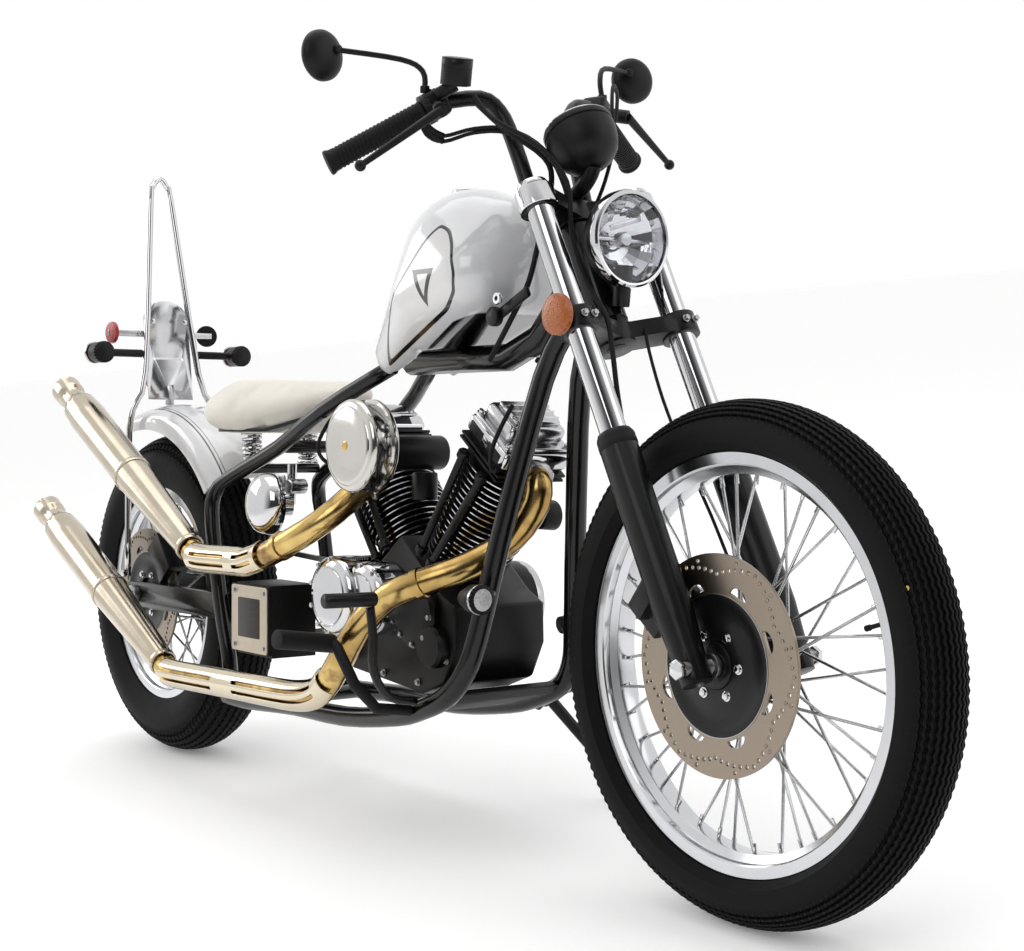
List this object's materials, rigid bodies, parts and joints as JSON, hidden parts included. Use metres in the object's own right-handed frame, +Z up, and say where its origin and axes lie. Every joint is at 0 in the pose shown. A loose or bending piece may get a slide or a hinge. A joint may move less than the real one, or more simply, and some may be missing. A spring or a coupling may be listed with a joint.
{
  "type": "chopper motorcycle",
  "caption": "Long-fork chopper motorcycle with a finned V-twin engine, spoked wheels, padded solo saddle, slim backrest and slash-up silencers, leaning on its side stand",
  "frame": {"origin": "centre of the bounding box in X and Y, on the floor under both tyres and the side stand foot", "axes": "+X forward to the front wheel, +Y to the rider's left, +Z up; the upright machine is leaned to its left about X by its parking angle"},
  "size_m": [2.3234, 0.7951, 1.2796],
  "materials": {
    "alloy": "polished",
    "black_paint": "gloss black",
    "black_plastic": "matt black",
    "chrome": "polished chrome",
    "cream_leather": "smooth, padded",
    "disc_steel": "drilled, ground",
    "engine_black": "satin black with polished edges",
    "heat_tint": "gold heat tint",
    "red_lens": "clear red",
    "rubber": "moulded",
    "satin_black": "satin black",
    "satin_nickel": "satin nickel",
    "steel": "machined",
    "tyre": "ribbed tread",
    "white_paint": "gloss white"
  },
  "bodies": {
    "frame": {"frame_head": "black_paint", "frame_cradle": "black_paint", "frame_cross_tubes": "black_paint", "frame_rear_loop": "black_paint", "cross_plate": "satin_black", "swingarm": "black_paint", "engine_crankcase": "engine_black", "cylinders": "engine_black", "clutch_cover": "chrome", "left_engine_cover": "engine_black", "horn": "satin_black", "carburettor": "satin_black", "air_cleaner": "chrome", "dome_cover": "chrome", "side_box": "black_plastic", "exhaust_pipes": "heat_tint", "heat_shields": "chrome", "silencers": "satin_nickel", "fuel_tank": "white_paint", "fuel_cap": "chrome", "seat_pad": "cream_leather", "seat_pan": "satin_black", "seat_springs": "chrome", "rear_fender": "white_paint", "sissy_bar": "chrome", "plate_bracket": "chrome", "tail_light": "red_lens", "indicators": "black_plastic", "footpegs": "rubber", "brake_pedal": "satin_black", "gear_lever": "satin_black", "drive_chain": "steel", "rear_axle": "steel", "rear_caliper": "satin_black"},
    "steering": {"steering_clamps": "satin_black", "fork_stanchions": "chrome", "fork_sliders": "satin_black", "front_axle": "steel", "handlebar": "satin_black", "grips": "rubber", "hand_controls": "black_plastic", "mirrors": "black_plastic", "headlight": "satin_black", "instrument_pod": "black_plastic", "front_caliper": "satin_black", "brake_hose": "rubber", "control_cables": "rubber"},
    "front_wheel": {"front_tyre": "tyre", "front_rim": "alloy", "front_spokes": "chrome", "front_hub": "satin_black", "front_disc": "disc_steel"},
    "rear_wheel": {"rear_tyre": "tyre", "rear_rim": "alloy", "rear_spokes": "chrome", "rear_hub": "satin_black", "rear_disc": "disc_steel", "rear_sprocket": "steel"},
    "stand": {"side_stand": "satin_black"}
  },
  "joints": [
    {"name": "steering_turn", "type": "hinge", "parent": "frame", "child": "steering", "pos_m": [0.52984, -0.00248, 0.78638], "axis": [-0.4617, 0.1234, 0.8784], "range_deg": [-32, 32], "deforming": ["control_cables"]},
    {"name": "front_wheel_spin", "type": "hinge", "parent": "steering", "child": "front_wheel", "pos_m": [0.81125, -0.06415, 0.34756], "axis": [0, 0.9903, -0.1392], "continuous": true},
    {"name": "rear_wheel_spin", "type": "hinge", "parent": "frame", "child": "rear_wheel", "pos_m": [-0.83675, -0.06767, 0.32251], "axis": [0, 0.9903, -0.1392], "continuous": true},
    {"name": "side_stand_fold", "type": "hinge", "parent": "frame", "child": "stand", "pos_m": [0.17325, 0.06505, 0.18906], "axis": [0, 0.9135, 0.4067], "range_deg": [0, 100]}
  ]
}
